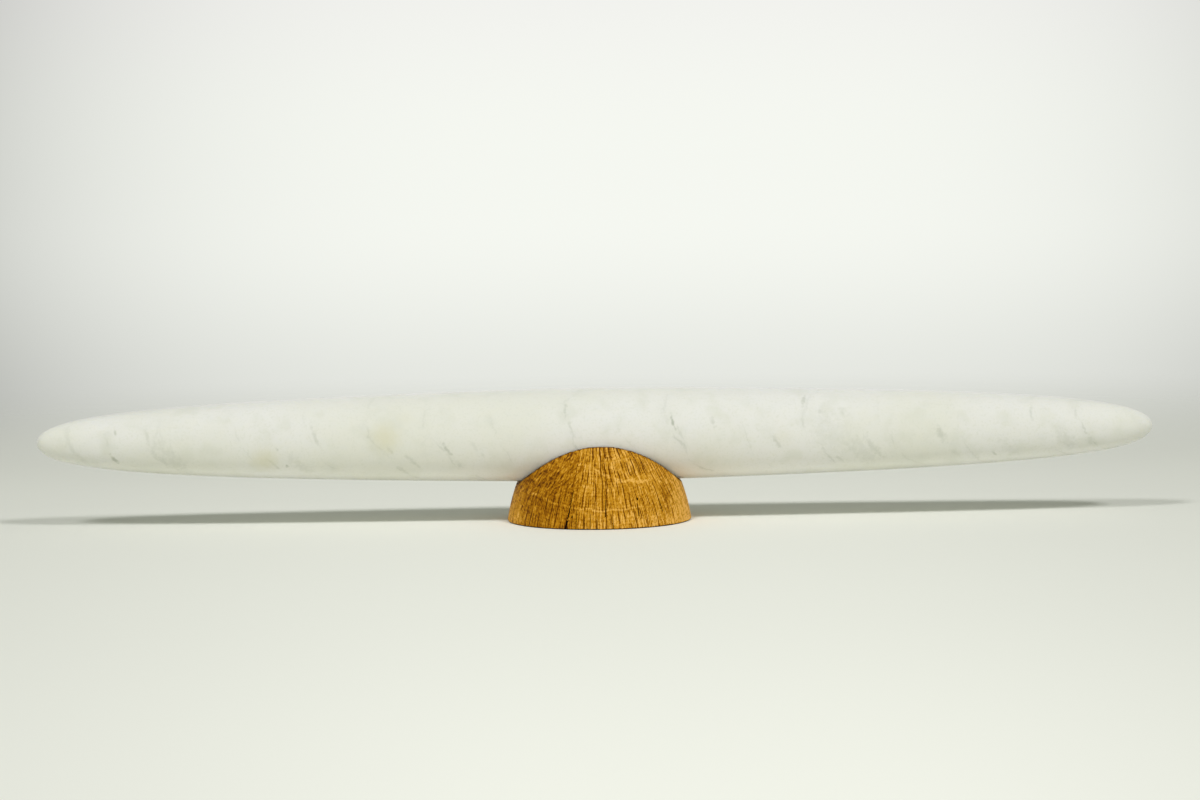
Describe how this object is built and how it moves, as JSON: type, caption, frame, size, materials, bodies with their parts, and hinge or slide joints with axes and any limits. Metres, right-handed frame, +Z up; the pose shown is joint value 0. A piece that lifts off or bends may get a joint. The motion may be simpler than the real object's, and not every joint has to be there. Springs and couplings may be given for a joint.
{
  "type": "marble rolling pin",
  "caption": "Handleless tapered marble rolling pin resting in the saddle of a small domed oak stand.",
  "frame": {"origin": "the middle of the stand's flat underside, on the surface that it stands on", "axes": "+X along the pin, +Z up, and -Y to the stand's front; the pin's axis is parallel to X, 39.9 mm above the origin"},
  "size_m": [0.52, 0.0856, 0.0617],
  "materials": {
    "white_marble": "honed white marble with faint grey-green veins, satin",
    "oiled_oak": "oiled oak, end grain to the front and back, satin"
  },
  "bodies": {
    "stand": {"oak_stand": "oiled_oak"},
    "pin": {"marble_pin": "white_marble"}
  },
  "joints": [
    {"name": "lift", "type": "slide", "parent": "stand", "child": "pin", "axis": [0, 0, 1], "range_m": [0, 0.08]}
  ]
}
